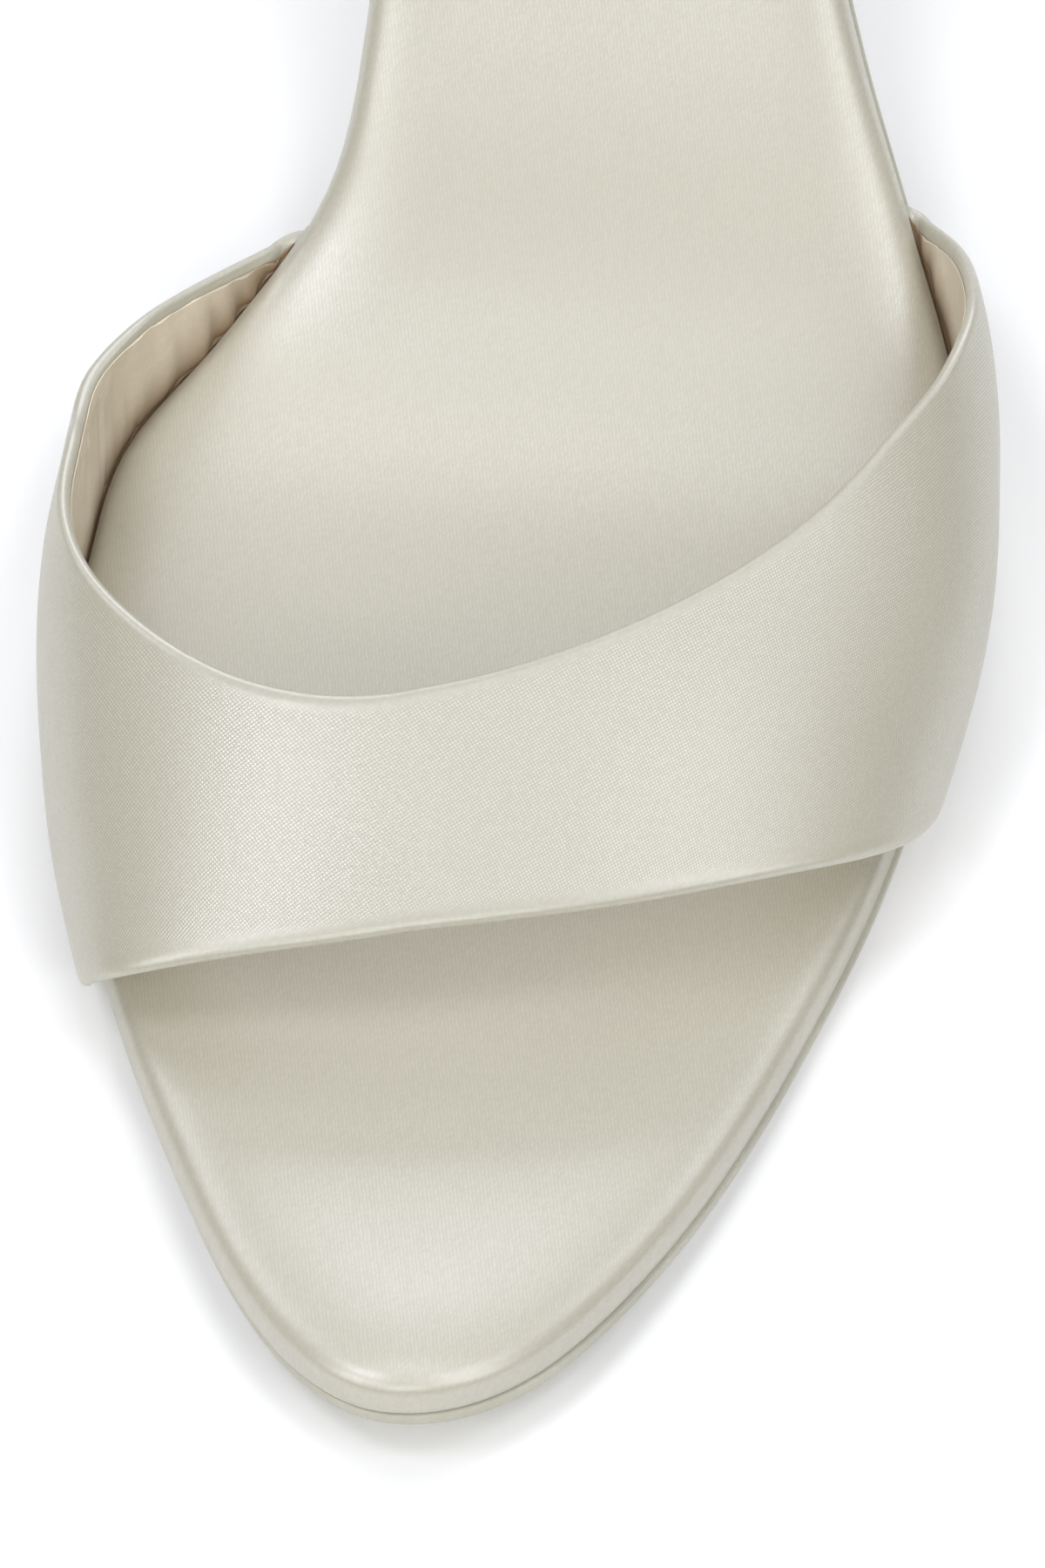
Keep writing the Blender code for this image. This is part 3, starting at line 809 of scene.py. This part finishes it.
seat = heel_seat()
heel_rings = [seat] + [heel_ring(seat, down) for down in np.linspace(0, 100, HEEL_LEVELS)[1:]]
seam = 2 * HEEL_STATIONS + BREAST_STATIONS // 2 - 2
for ring in heel_rings:
    ring[seam - 1:seam + 2, 0] = (SEAM_WIDTH, 0, -SEAM_WIDTH)
    ring[seam, 1] += SEAM_DEPTH
heel_mesh = ringed("heel_cover", heel_rings, [wrapped(ring) for ring in heel_rings],
                   (0, 2 * HEEL_STATIONS - 2), BREAST_EASE)
add_piece("heel_cover", heel_mesh, strap_satin, "satin", "heel")

# ---------------------------------------------------------------------------------------------------
# Heel top piece. Hard rubber lift, pinned into the heel's tip, its lower edge eased.
# ---------------------------------------------------------------------------------------------------
rubber = plain("top_piece_rubber", (0.34, 0.29, 0.22), (0.48, 0.42, 0.33), 0.6, 2.0, 0.4)
tip = heel_rings[-1]
toward = tip.mean(axis=0) - tip
toward /= np.linalg.norm(toward, axis=1, keepdims=True)
tip_rings = []
for inset, level in ((0.5, 0), (0.15, 0.12), (0, 0.45), (0, 4.8), (0.1, 5.0)):
    ring = tip + toward * inset * MM
    ring[:, 2] = level * MM
    tip_rings.append(ring)
top_piece_mesh = ringed("heel_top_piece_rubber", tip_rings, [ring / MM for ring in tip_rings])
add_piece("heel_top_piece_rubber", top_piece_mesh, rubber, "top_piece_rubber", "heel_top_piece")

# ---------------------------------------------------------------------------------------------------
# Studio: a pale floor, soft lights, and the camera in front of the toe, looking down.
# ---------------------------------------------------------------------------------------------------
FLOOR_REACH = 3.0

floor_mesh = bpy.data.meshes.new("floor")
bm = bmesh.new()
bmesh.ops.create_grid(bm, x_segments=1, y_segments=1, size=FLOOR_REACH)
bm.to_mesh(floor_mesh)
bm.free()
floor_paper, _, paper = new_material("floor_paper")
paper["Base Color"].default_value = (0.95, 0.95, 0.95, 1)
paper["Roughness"].default_value = 0.9
floor_mesh.materials.append(floor_paper)
new_object("floor", floor_mesh)

world = bpy.data.worlds.new("studio")
bpy.context.scene.world = world
world.use_nodes = True
sky = world.node_tree.nodes["Background"].inputs
seen = wire(world.node_tree, "LightPath").outputs["Is Camera Ray"]
glow = wire(world.node_tree, "MapRange", {"Value": seen, "To Min": 0.02, "To Max": 0.95})
sky["Color"].default_value = (1, 1, 1, 1)
world.node_tree.links.new(glow.outputs[0], sky["Strength"])
bpy.context.scene.view_settings.view_transform = "Standard"

MIDDLE = Vector((0, 0.01, 0.015))
LIGHT_DISTANCE = 12.0
COOL = (0.91, 0.93, 1.0)


def outward(azimuth, elevation):
    """Direction away from the shoe; azimuth 0 is in front of the toe, 90 on the lateral side."""
    a, e = math.radians(azimuth), math.radians(elevation)
    return Vector((math.sin(a) * math.cos(e), -math.cos(a) * math.cos(e), math.sin(e)))


def soft_light(name, azimuth, elevation, width, power, colour=(1, 1, 1)):
    """Square soft box aimed at the shoe from far off, so that the floor is lit evenly; width and power
    are those of the same light a metre away."""
    back = outward(azimuth, elevation)
    lamp = bpy.data.lights.new(name, "AREA")
    lamp.shape = "SQUARE"
    lamp.size = width * LIGHT_DISTANCE
    lamp.energy = power * LIGHT_DISTANCE**2
    lamp.color = colour
    holder = new_object(name, lamp)
    holder.location = MIDDLE + back * LIGHT_DISTANCE
    holder.rotation_euler = back.to_track_quat("Z", "Y").to_euler()


soft_light("overhead_behind", 180, 76, 0.28, 0.9)
soft_light("overhead_medial", -73, 71, 0.25, 2.0, COOL)
soft_light("overhead_lateral", 76, 70, 0.25, 1.35, COOL)
soft_light("medial_front", -45, 54, 0.47, 1.35)
soft_light("medial_front_low", -45, 35, 0.4, 1.9)
soft_light("lateral_front", 48, 56, 0.47, 1.75)
soft_light("lateral_front_low", 48, 35, 0.4, 1.6)
soft_light("front", 0, 38, 0.4, 1.9)
soft_light("medial_behind", -130, 42, 0.4, 1.4, COOL)
soft_light("lateral_behind", 130, 42, 0.4, 1.35, COOL)
soft_light("behind_high", 180, 55, 0.4, 0.35)
soft_light("behind", 180, 28, 0.53, 3.5, COOL)

CAMERA_AZIMUTH = 5.0
CAMERA_ELEVATION = 58.0
CAMERA_ROLL = math.radians(1.0)
CAMERA_DISTANCE = 0.9
CAMERA_TARGET = Vector((4.9, -7.4, 5.6)) * MM
CAMERA_FOCAL_LENGTH = 241.2     # mm, on a sensor 36 mm wide

back = outward(CAMERA_AZIMUTH, CAMERA_ELEVATION)
level = outward(CAMERA_AZIMUTH + 90, 0)
upright = back.cross(level)
right = level * math.cos(CAMERA_ROLL) - upright * math.sin(CAMERA_ROLL)
up = level * math.sin(CAMERA_ROLL) + upright * math.cos(CAMERA_ROLL)
lens = bpy.data.cameras.new("camera")
lens.sensor_width = 36
lens.lens = CAMERA_FOCAL_LENGTH
camera = new_object("camera", lens)
axes = Matrix((right, up, back)).transposed().to_4x4()
camera.matrix_world = Matrix.Translation(CAMERA_TARGET + back * CAMERA_DISTANCE) @ axes
bpy.context.scene.camera = camera
